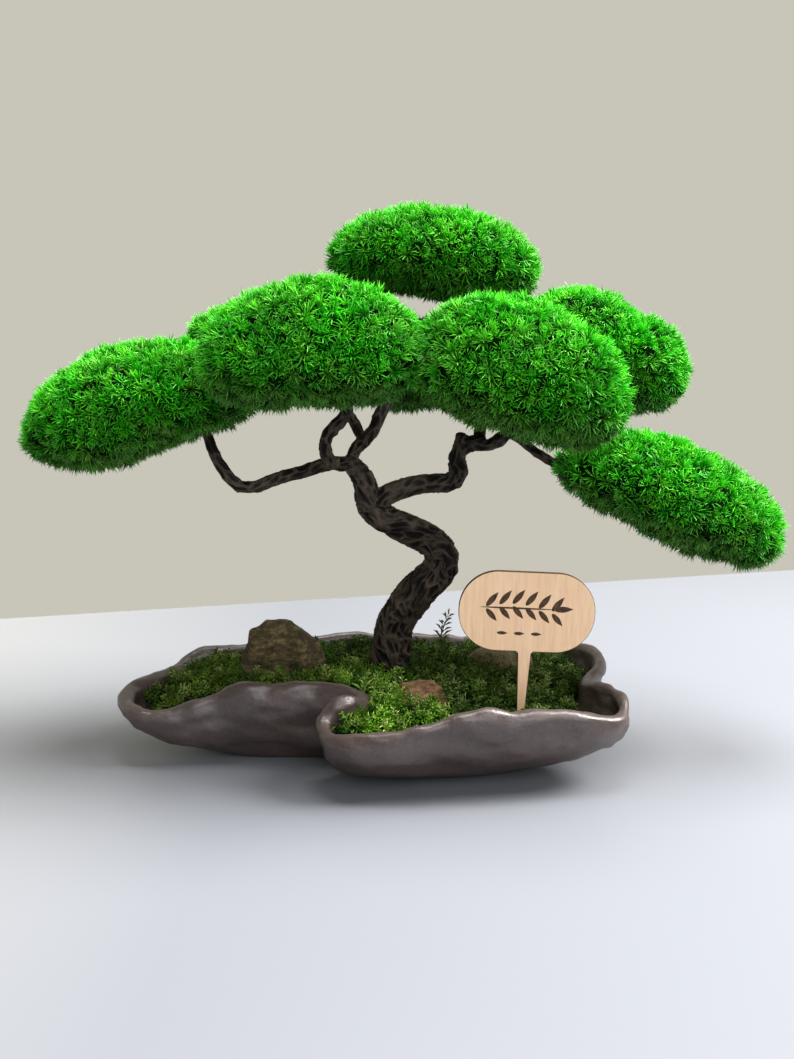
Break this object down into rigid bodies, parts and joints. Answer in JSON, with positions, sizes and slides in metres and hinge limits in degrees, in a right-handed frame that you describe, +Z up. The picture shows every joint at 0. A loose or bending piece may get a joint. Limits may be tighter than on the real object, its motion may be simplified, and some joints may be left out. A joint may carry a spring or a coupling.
{
  "type": "bonsai tree in a pot",
  "caption": "Decorative bonsai with a bent trunk and cushions of needle foliage, in a low free-form clay dish with moss, stones and a wooden plant tag.",
  "frame": {"origin": "on the underside of the pot's flat foot, below the trunk", "axes": "+Z up, +X along the tree's broad side to the right, the front of the pot and the tag face -Y"},
  "size_m": [0.4038, 0.1824, 0.2911],
  "materials": {
    "clay": "unglazed dark brown clay, smoothed to a satin sheen",
    "soil": "dark crumbly peat and bark potting mix",
    "sheet_moss": "soft feathery moss, dark at the back and yellow-green in front",
    "rock": "rough brown and olive natural stone",
    "bark": "nearly black brown bark with long twisted wrinkles",
    "foliage": "bright green fine needles in small stars",
    "birch": "pale birch plywood with a fine grain and browned laser-cut edges"
  },
  "bodies": {
    "root": {"pot": "clay", "soil": "soil", "moss_right": "sheet_moss", "moss_back": "sheet_moss", "moss_left": "sheet_moss", "moss_front": "sheet_moss", "stone_left": "rock", "stone_front": "rock", "stone_right": "rock", "trunk": "bark", "foliage_left_front": "foliage", "foliage_right_front": "foliage", "foliage_top": "foliage", "foliage_right_back": "foliage", "foliage_left_low": "foliage", "foliage_right_low": "foliage", "foliage_back_left": "foliage", "foliage_back_centre": "foliage", "plant_tag": "birch"}
  },
  "joints": []
}
